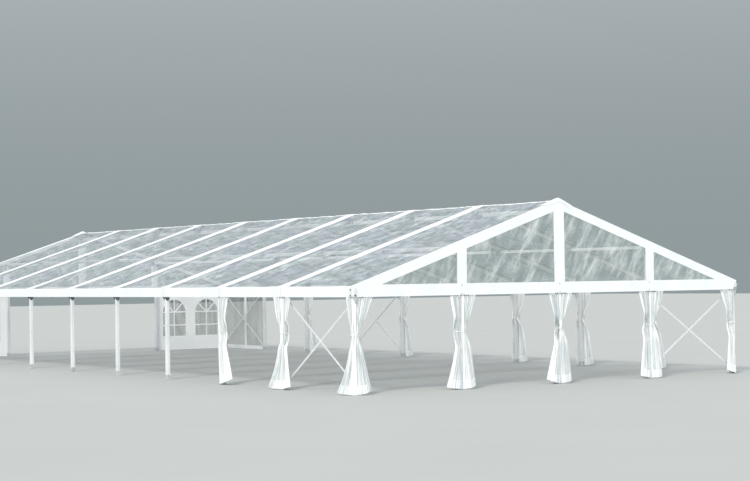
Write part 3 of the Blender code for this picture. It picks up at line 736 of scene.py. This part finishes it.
for name, facing in (("front_gable", -1), ("back_gable", 1)):
    skin = new_sheet(GABLE_WIDE, GABLE_HIGH, 200, 40)
    middle = GABLE_WIDE / 2
    for side in (-1, 1):
        outward = (side * math.sin(PITCH), math.cos(PITCH))
        bmesh.ops.bisect_plane(skin, geom=everything(skin), plane_co=(middle, GABLE_HIGH, 0),
                               plane_no=(*outward, 0), clear_outer=True)
        cut(skin, (middle, GABLE_HIGH - SLOPE_BAND / math.cos(PITCH)), outward)
        for place, band in ((middle, MIDDLE_BAND), (middle - SECTION, QUARTER_BAND),
                            (middle + SECTION, QUARTER_BAND)):
            cut(skin, (place + side * band / 2, 0), (1, 0))
    cut(skin, (0, FOOT_BAND), (0, 1))
    weld_on(skin, lambda p: p.y < FOOT_BAND or abs(p.x - middle) < MIDDLE_BAND / 2
            or abs(abs(p.x - middle) - SECTION) < QUARTER_BAND / 2
            or roof_line(p.x - middle) - VALANCE_FOOT - p.y < SLOPE_BAND / math.cos(PITCH))

    def on_gable(x, y):
        """Where a point of the flat skin hangs on the gable."""
        under_slope = max(0.0, roof_line(x - middle) - VALANCE_FOOT - y)
        slack = min(1.0, under_slope / EDGE_PLAY) * min(1.0, y / EDGE_PLAY)
        billow = slack * (0.010 * noise.noise((x * 1.5, y * 1.5, facing * 4.0))
                          + 0.004 * noise.noise((x * 5, y * 3, 9.0)))
        crimp = (noise.noise((x * 7.0 - y * 9.0, y * 2.0, facing * 6.0))
                 * noise.noise((x * 0.9, 1.7, facing)))
        wave = (0.003 * math.sin(x * 7.0) + 0.016 * crimp) * max(0.0, 1 - y / EDGE_PLAY)
        out = facing * (HALF_LENGTH + SKIN_OUT + billow + wave)
        return Vector((-facing * (x - middle), out, VALANCE_FOOT + y))

    hang(skin, on_gable, shift=40.0 + facing * 20)
    piece = add_piece(name + "_skin_sheet", skin, thin_clear, white, slot="clear_vinyl", node=name + "_skin")

# Post laps. Where the gable's foot band passes a post, a white lap is welded over the lacing, with a steel
# eyelet at its foot and one at its top.
LAP_WIDE, LAP_LOW, LAP_HIGH, LAP_THICK, LAP_PROUD = 0.045, 0.012, 0.27, 0.003, 0.004
EYELET, EYELET_RIM, EYELET_ASIDE = 0.022, 0.004, 0.02
for name, facing in (("front_gable", -1), ("back_gable", 1)):
    laps, eyelets = new_part(), new_part()
    plane = facing * (COVER_END + LAP_PROUD)
    for x in (-SECTION, 0.0, SECTION):
        corners = [(x + dx, plane, VALANCE_FOOT + dz) for dx, dz in
                   ((0.0, LAP_LOW), (LAP_WIDE, LAP_LOW), (LAP_WIDE, LAP_HIGH), (0.0, LAP_HIGH))]
        add_plate(laps, corners, (0, facing * LAP_THICK, 0), 0.001)
        for height in (0.035, LAP_HIGH - 0.03):
            ring = new_part()
            rim = Matrix.Translation((EYELET / 2 + EYELET_RIM, 0, 0)) @ Matrix.Rotation(math.pi / 2, 4, "X")
            bmesh.ops.create_circle(ring, segments=8, radius=EYELET_RIM, matrix=rim)
            bmesh.ops.spin(ring, geom=ring.verts[:] + ring.edges[:], cent=(0, 0, 0), axis=(0, 0, 1),
                           angle=2 * math.pi, steps=18, use_merge=True)
            bmesh.ops.remove_doubles(ring, verts=ring.verts, dist=1e-5)
            bmesh.ops.recalc_face_normals(ring, faces=ring.faces)
            spot = (x - EYELET_ASIDE, plane + facing * LAP_THICK, VALANCE_FOOT + height)
            bmesh.ops.transform(ring, matrix=Matrix.Translation(spot) @ Matrix.Rotation(math.pi / 2, 4, "X"),
                                verts=ring.verts)
            join(ring, eyelets)
    add_piece(name + "_laps", laps, white, slot="white_vinyl")
    add_piece(name + "_eyelets", eyelets, zinc, slot="galvanised_steel")

# Peak caps. A short saddle of white coated cloth is folded over the ridge at each gable and laced down, to
# keep water out of the joint. It stands a little proud of the roof.
CAP_WIDE, CAP_LONG, CAP_PROUD, CAP_FLAP = 0.90, 0.36, 0.05, 0.09
CAP_LIFT, CAP_OUT = 0.004, 0.007
for name, end, panel_name in (("front_peak_cap", -1, "roof_panel_1_sheet"),
                              ("back_peak_cap", 1, "roof_panel_9_sheet")):
    cap = new_sheet(CAP_WIDE, CAP_LONG, 24, 16)
    cut(cap, (0, CAP_FLAP), (0, 1))

    def on_peak(x, y):
        """Where a point of the flat cap lies over the ridge."""
        across = (x - CAP_WIDE / 2) * math.cos(PITCH)
        back = max(0.0, y - CAP_FLAP) / (CAP_LONG - CAP_FLAP)
        rise = CAP_PROUD * (1 - (abs(across) * 2 / CAP_WIDE) ** 1.4) * (1 - back ** 2) + CAP_LIFT
        drop = max(0.0, CAP_FLAP - y)
        out = end * (COVER_END + CAP_OUT - max(0.0, y - CAP_FLAP))
        return Vector((across, out, roof_line(across) + rise - drop))

    hang(cap, on_peak, shift=70.0)
    if end < 0:
        bmesh.ops.reverse_faces(cap, faces=cap.faces[:])
    piece = add_piece(name, cap, white, slot="white_vinyl")

# Window walls. White coated cloth hooked under the header in the back gable's outer sections, with two
# arched windows of clear film in each, and white bars welded over the film.
WALL_FOOT, WALL_TOP = 0.0123, 2.2567
WALL_LONG = WALL_TOP - WALL_FOOT
WINDOW_HALF, WINDOW_APART = 0.50, 1.43
SILL, SPRING, LOWER_BAR = 0.55 - WALL_FOOT, 1.46 - WALL_FOOT, 0.97 - WALL_FOOT
BAR_HALF, SPRING_BAR_UP = 0.045 / 2, 0.02
ARCH_SIDES = 20

# Pressed clear window film, 0.75 mm, thicker than the roof's. Its dark grey green is painted: it stands for
# the dark view seen through it, so it reads dark in a white wall. It has pale creases 0.1 m wide that run
# down it where it was folded for storage
window_film = new_film("pressed clear window film", 0.08, "TEXTURE", 1.42, (1.3, 0.11),
                       {"Detail": 6, "Distortion": 0.6}, (0.35, 0.75), ("#46524f", "#b4c0bc"), (0.62, 0.46),
                       even=True)

# Wall cloth, thinner than the roof's borders, painted a purer white: the brighter colour is painted light
# that stands in for the daylight coming through it
wall_white_painted_bright = new_white_cloth("white wall cloth painted brighter", "#f4f6f7", "#ffffff")

for name, side in (("near_window_wall", -1), ("far_window_wall", 1)):
    low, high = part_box(name)
    width = high.x - low.x
    wall = new_sheet(width, WALL_LONG, 44, 32)
    centre = abs((side * (HALF_WIDTH - SECTION / 2)) - low.x)
    for x in (centre - WINDOW_APART / 2, centre + WINDOW_APART / 2):
        for offset in (-WINDOW_HALF, WINDOW_HALF):
            cut(wall, (x + offset, 0), (1, 0))
        for height in (SILL, SPRING + WINDOW_HALF):
            cut(wall, (0, height), (0, 1))

        def near_window(p):
            """Whether a flat point is inside the window's bounding rectangle."""
            return abs(p.x - x) < WINDOW_HALF and SILL < p.y < SPRING + WINDOW_HALF

        for offset in (-BAR_HALF, BAR_HALF):
            cut(wall, (x + offset, 0), (1, 0), near_window)
            cut(wall, (0, SPRING + SPRING_BAR_UP + offset), (0, 1), near_window)
            cut(wall, (0, LOWER_BAR + offset), (0, 1), near_window)
            for lean in (-1, 1):
                cut(wall, (x + lean * offset * math.sqrt(2), SPRING), (lean, -1),
                    lambda p: near_window(p) and p.y > SPRING)
        for step in range(ARCH_SIDES):
            angle = math.pi * (step + 0.5) / ARCH_SIDES
            spot = Vector((math.cos(angle), math.sin(angle)))
            inner = WINDOW_HALF * math.cos(math.pi / ARCH_SIDES / 2)

            def by_arch(p):
                """Whether a flat point is near this side of the arch."""
                off = Vector((p.x - x, p.y - SPRING))
                return off.length > WINDOW_HALF * 0.8 and off.angle(spot, 0) < 0.35 and near_window(p)

            cut(wall, (x + spot.x * inner, SPRING + spot.y * inner), spot, by_arch)

        def on_film(p):
            """Whether a flat point is inside the arched window and on none of its white bars."""
            off = Vector((p.x - x, p.y - SPRING))
            inside = near_window(p) and (off.y <= 0 or off.length < WINDOW_HALF)
            on_bar = (abs(off.x) < BAR_HALF or abs(off.y - SPRING_BAR_UP) < BAR_HALF
                      or abs(p.y - LOWER_BAR) < BAR_HALF
                      or (off.y > 0 and abs(abs(off.x) - off.y) < BAR_HALF * math.sqrt(2)))
            return inside and not on_bar

        weld_on(wall, on_film)

    def on_wall(x, y):
        """Where a point of the flat wall hangs."""
        ripple = (0.0035 * noise.noise((x * 3.0, y * 0.8, side * 3.0))
                  + 0.002 * noise.noise((x * 9.0, y * 1.5, 2.0)))
        return Vector((high.x - x, (low.y + high.y) / 2 + ripple, WALL_FOOT + y))

    hang(wall, on_wall, shift=80.0 + side * 5)
    piece = add_piece(name + "_sheet", wall, wall_white_painted_bright, window_film, slot="white_vinyl", node=name)

# Clear side walls. Clear film with white coated borders and a white strip down its middle, hung in the
# last bay of each long side.
EDGE, STRIP = 0.09, 0.16
FOOT_EDGE = EDGE * 1.6
for name, beam_name, side in (("near_clear_wall", "near_eave_beam_extrusion", -1),
                              ("far_clear_wall", "far_eave_beam_extrusion", 1)):
    low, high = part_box(name)
    width = high.y - low.y
    wall = new_sheet(width, WALL_LONG, 40, 28)
    for x in (EDGE, width - EDGE, (width - STRIP) / 2, (width + STRIP) / 2):
        cut(wall, (x, 0), (1, 0))
    for y in (FOOT_EDGE, WALL_LONG - EDGE):
        cut(wall, (0, y), (0, 1))
    weld_on(wall, lambda p: min(p.x, width - p.x) < EDGE or abs(p.x - width / 2) < STRIP / 2
            or p.y < FOOT_EDGE or p.y > WALL_LONG - EDGE)

    def on_side(x, y):
        """Where a point of the flat side wall hangs."""
        ripple = (0.0035 * noise.noise((x * 3.0, y * 0.6, side * 8.0))
                  + 0.002 * noise.noise((x * 8.0, y * 1.2, 5.0)))
        along = low.y + x if side > 0 else high.y - x
        return Vector(((low.x + high.x) / 2 + ripple, along, WALL_FOOT + y))

    hang(wall, on_side, shift=100.0 + side * 5)
    piece = add_piece(name + "_sheet", wall, window_film, white, slot="clear_vinyl", node=name)

# Curtains. Each leg carries one or two drops of clear film with white hems all round. A drop is laced to
# the leg by one edge and hangs pleated under the beam. It is drawn in to the leg at chest height and falls
# out again below, where its free edge lifts off the ground.
TIE = 1.37
DROP_WIDE, DROP_LONG = 0.90, WALL_LONG
HEM, FOOT_HEM, HEAD_HEM = 0.07, 0.20, 0.05
LACED_SHARE, FREE_SHARE = 0.16, 0.13
FOLDS, FOLD_DEEP, EDGE_FOLD = 6, 0.036, 0.08
HANG_LINE, BULGE, TIE_COVER, DRAWN_REACH = 0.025, 0.11, 0.030, 0.42
GLIDER_WIDE, GLIDER_HIGH, GLIDER_COUNT = 0.022, 0.030, 7
LEG_ROOM, LEG_SHOULDER = LEG / 2 + 0.003, 0.03

# How far a drop's laced edge is from the leg's middle: a lone drop wraps the leg, and two leave a parting
WRAP, PARTING = 0.085, 0.002

# Gathered clear vinyl, shiny, painted a milky grey to white: the pale colour is painted light that stands
# in for the daylight passing through its layers. Its haze runs down the drop in streaks from 0.14 m to a
# few centimetres wide, milkier and clearer at random.
gathered = new_film("gathered clear vinyl", 0.22, "POINT", 0.0, (7.0, 0.7), {"Detail": 6, "Distortion": 0.5},
                    (0.32, 0.68), ("#d6dedf", "#fcfdfd"), (0.54, 0.92))


def clear_of_leg(u, v):
    """Push a point of a curtain out of the leg's section."""
    if abs(u) < LEG_ROOM and v < LEG_ROOM:
        if v > abs(u) or v > LEG_ROOM - LEG_SHOULDER:
            return u, LEG_ROOM
        return math.copysign(LEG_ROOM, u), v
    return u, v


def by_leg(place, ways, u, v, z):
    """The point that lies u along the bay and v outward from a leg's middle, at a height."""
    along, out = ways
    return Vector((place[0] + along[0] * u + out[0] * v, place[1] + along[1] * u + out[1] * v, z))


def add_drop(name, node, place, ways, sizes, start, seed):
    """Make one drop that reaches along its bay from a leg. Its sizes are its reach at the head, the tie and
    the foot, the power by which it flares below the tie, and how far out its free edge swings."""
    head, tie, foot, flare, swing = sizes
    drop = new_sheet(DROP_WIDE, DROP_LONG, 100, 54)
    for x in (HEM, DROP_WIDE - HEM):
        cut(drop, (x, 0), (1, 0))
    for y in (FOOT_HEM, DROP_LONG - HEAD_HEM):
        cut(drop, (0, y), (0, 1))
    weld_on(drop, lambda p: min(p.x, DROP_WIDE - p.x) < HEM or p.y < FOOT_HEM or p.y > DROP_LONG - HEAD_HEM)

    def gather(x, y):
        """Where a point of the flat drop hangs."""
        share, from_head = x / DROP_WIDE, DROP_LONG - y
        if x < HEM:
            spread = LACED_SHARE * x / HEM
        elif x > DROP_WIDE - HEM:
            spread = 1 - FREE_SHARE * (DROP_WIDE - x) / HEM
        else:
            spread = LACED_SHARE + (1 - LACED_SHARE - FREE_SHARE) * (x - HEM) / (DROP_WIDE - 2 * HEM)
        upper = math.hypot(WALL_TOP - TIE, (head - tie) * spread)
        lower = DROP_LONG - upper
        if from_head < upper:
            z = WALL_TOP - (WALL_TOP - TIE) * from_head / upper
        else:
            z = TIE - math.sqrt(lower ** 2 - ((foot - tie) * spread) ** 2) * (from_head - upper) / lower
        high, low = max(0.0, z - TIE) / (WALL_TOP - TIE), max(0.0, TIE - z) / (TIE - WALL_FOOT)
        reach = tie + (head - tie) * high ** 0.92 + (foot - tie) * low ** flare
        drawn = max(0.0, 1 - abs(z - TIE) / DRAWN_REACH)
        drawn = drawn * drawn * (3 - 2 * drawn)
        laced = min(1.0, share / EDGE_FOLD)
        phase = 2 * math.pi * FOLDS * share + 1.3 * noise.noise((share * 3, z * 0.8, seed + 40))
        fold = math.sin(phase) + 0.22 * math.sin(2.7 * phase + seed)
        deep = FOLD_DEEP * (0.95 + 0.35 * noise.noise((share * 4, z * 0.35, seed + 20))) * (1 - 0.25 * drawn)
        deep *= laced * (0.25 + 0.75 * min(1.0, (1 - share) / EDGE_FOLD))
        angle = math.pi / 2 * (1 - spread)
        depth = LEG + TIE_COVER
        radial = Vector((depth * math.cos(angle), reach * math.sin(angle))).normalized()
        u = reach * spread + 0.4 * deep * math.cos(phase)
        v = LEG / 2 + 0.005 + HANG_LINE * laced + deep * fold
        v += low ** max(0.8, flare) * (BULGE * math.sin(math.pi * share) + swing * share)
        u += (reach * math.cos(angle) + radial.x * deep * fold - u) * drawn + start * (1 - spread)
        v += (depth * math.sin(angle) - LEG / 2 + radial.y * deep * fold - v) * drawn
        u, v = clear_of_leg(u, max(v, 0.002 - LEG / 2))
        return by_leg(place, ways, u, v, z)

    for step in range(GLIDER_COUNT):
        hook = gather(DROP_WIDE * (step + 0.5) / GLIDER_COUNT, DROP_LONG - GLIDER_HIGH)
        bmesh.ops.create_cone(gliders, cap_ends=True, segments=10, radius1=GLIDER_WIDE / 2,
                              radius2=GLIDER_WIDE / 2.6, depth=GLIDER_HIGH,
                              matrix=Matrix.Translation(hook + Vector((0, 0, GLIDER_HIGH / 2))))
    hang(drop, gather, shift=seed * 3.0)
    along, out = ways
    if along[0] * out[1] - along[1] * out[0] > 0:
        bmesh.ops.reverse_faces(drop, faces=drop.faces[:])
    piece = add_piece(name, drop, gathered, white, slot="curtain_vinyl", node=node, sharp=80)


# Curtain ties are straps of white webbing, 12 mm wide, round a leg and its gathered drops. Each curtain's
# row has its leg's place, then each drop's name and its sizes as add_drop takes them.
STRAP_HIGH, STRAP_THICK = 0.012, 0.002
STRAP_BACK, STRAP_OUT, STRAP_EASE = LEG / 2 + 0.006, 0.115, 0.035
CURTAINS = [
    ("front_curtain_1", (-SECTION, -HALF_LENGTH),
     {"left": (0.36, 0.17, 0.52, 1.5, 0.0), "right": (0.42, 0.09, 0.33, 0.45, 0.04)}),
    ("front_curtain_2", (0.0, -HALF_LENGTH),
     {"left": (0.34, 0.05, 0.48, 0.9, 0.0), "right": (0.42, 0.05, 0.32, 0.35, 0.04)}),
    ("front_curtain_3", (SECTION, -HALF_LENGTH),
     {"left": (0.38, 0.08, 0.36, 0.45, 0.0), "right": (0.38, 0.19, 0.34, 0.35, 0.04)}),
    ("near_corner_curtain", (-HALF_WIDTH, -HALF_LENGTH),
     {"gable": (0.46, 0.07, 0.40, 0.9, 0.02), "side": (0.20, 0.04, 0.44, 1.9, 0.16)}),
    ("far_corner_curtain", (HALF_WIDTH, -HALF_LENGTH),
     {"gable": (0.50, 0.10, 0.30, 0.6, 0.02), "side": (0.25, 0.07, 0.30, 0.8, 0.04)}),
    ("near_curtain_1", (-HALF_WIDTH, frame_y(1)),
     {"front": (0.42, 0.13, 0.44, 0.9, 0.04), "back": (0.38, 0.09, 0.44, 2.0, 0.15)}),
    ("near_curtain_2", (-HALF_WIDTH, frame_y(2)), {"front": (0.43, 0.12, 0.66, 0.85, 0.0)}),
]
CURTAINS += [(f"far_curtain_{index}", (HALF_WIDTH, frame_y(index)),
              {"front": (0.40, 0.10, 0.40, 0.6, 0.04), "back": (0.40, 0.10, 0.40, 0.6, 0.04)})
             for index in range(1, 8)]


def drop_ways(suffix, x):
    """The way a drop reaches along its bay, and the way that is outward there."""
    away = math.copysign(1, x)
    along = {"left": (-1, 0), "right": (1, 0), "gable": (-away, 0), "front": (0, -1)}.get(suffix, (0, 1))
    return along, (0, -1) if along[0] else (away, 0)


def add_tie(name, place, ways, low, high):
    """Make a strap between two corners, given along and out from the leg."""
    strap = new_part()
    bmesh.ops.create_circle(strap, segments=40, radius=1)
    for vert in strap.verts:
        angle = math.atan2(vert.co.y, vert.co.x)
        c, s = math.cos(angle), math.sin(angle)
        u = (low[0] + high[0]) / 2 + (high[0] - low[0]) / 2 * math.copysign(abs(c) ** 0.7, c)
        v = (low[1] + high[1]) / 2 + (high[1] - low[1]) / 2 * math.copysign(abs(s) ** 0.7, s)
        vert.co = by_leg(place, ways, u, v, TIE - STRAP_HIGH / 2 + 0.01 * s)
    grown = bmesh.ops.extrude_edge_only(strap, edges=strap.edges[:])
    lifted = [item for item in grown["geom"] if isinstance(item, bmesh.types.BMVert)]
    bmesh.ops.translate(strap, vec=(0, 0, STRAP_HIGH), verts=lifted)
    bmesh.ops.recalc_face_normals(strap, faces=strap.faces)
    bmesh.ops.solidify(strap, geom=strap.faces[:], thickness=STRAP_THICK)
    add_piece(name, strap, white, slot="white_vinyl")


gliders = new_part()
seed = 0.0
for name, place, drops in CURTAINS:
    corner, lone = "corner" in name, len(drops) == 1
    start = -LEG / 2 if corner else PARTING
    start = -WRAP if lone else start
    for suffix, sizes in drops.items():
        add_drop(f"{name}_{suffix}_drop", name, place, drop_ways(suffix, place[0]), sizes, start, seed)
        seed += 1.7
    reaches = [sizes[1] + STRAP_EASE for sizes in drops.values()]
    if corner:
        low = (-STRAP_OUT, -reaches[1])
    else:
        low = (-STRAP_BACK if lone else -reaches[1], -STRAP_BACK)
    add_tie(name + "_tie", place, drop_ways(list(drops)[0], place[0]), low,
            (max(reaches[0], STRAP_BACK), STRAP_OUT))

# Curtain gliders. Small dark steel gliders hold the drops' head hems in the track under the beam. Each
# shows as a small dark spot below the valance.
add_piece("curtain_gliders", gliders, dark_steel, slot="galvanised_steel")
